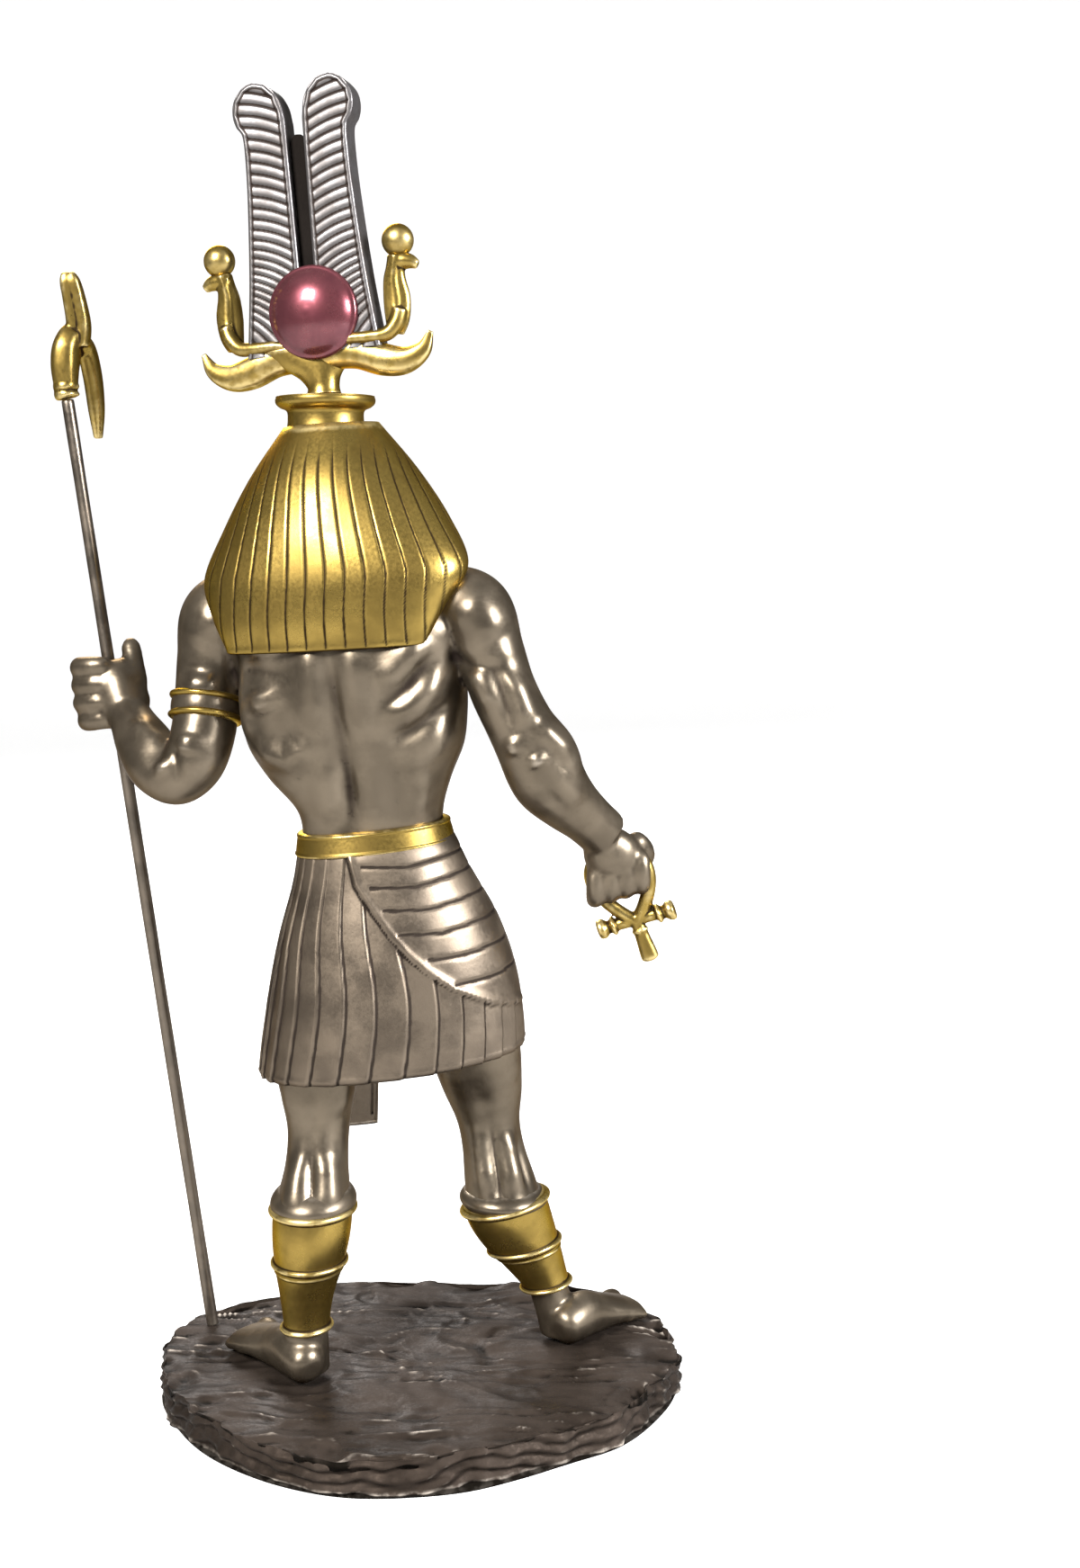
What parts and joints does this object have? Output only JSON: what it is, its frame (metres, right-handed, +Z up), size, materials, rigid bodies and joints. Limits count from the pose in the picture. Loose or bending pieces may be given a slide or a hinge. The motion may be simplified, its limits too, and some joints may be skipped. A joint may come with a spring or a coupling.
{
  "type": "crocodile-headed god figurine",
  "caption": "Cast figurine of a walking crocodile-headed god in a kilt and tall feather crown, with a long staff and a looped cross, on an oval rock base.",
  "frame": {"origin": "middle of the flat underside of the base", "axes": "+Z up; the figure walks and looks towards -Y; its left hand, with the staff, is on the +X side"},
  "size_m": [0.1518, 0.1079, 0.3169],
  "materials": {
    "rock_bronze": "cold-cast resin with a dark bronze-powder skin, rough as rock, rubbed lighter on its ledges",
    "body_bronze": "cold-cast resin with a burnished brown bronze-powder skin, dark in the hollows and bright on the ridges",
    "plume_silver": "cold-cast resin with a silver-grey metallic coat and a dark wash between the barbs",
    "staff_metal": "dark browned steel rod, satin",
    "trim_gold": "cold-cast resin with an antique gold metallic coat and a dark wash in the grooves",
    "disc_red": "glossy metallic purple-red lacquer"
  },
  "bodies": {
    "root": {"rock_base": "rock_bronze", "figure": "body_bronze", "crown": "plume_silver", "staff_rod": "staff_metal", "staff_head": "trim_gold", "ankh": "trim_gold"}
  },
  "joints": []
}
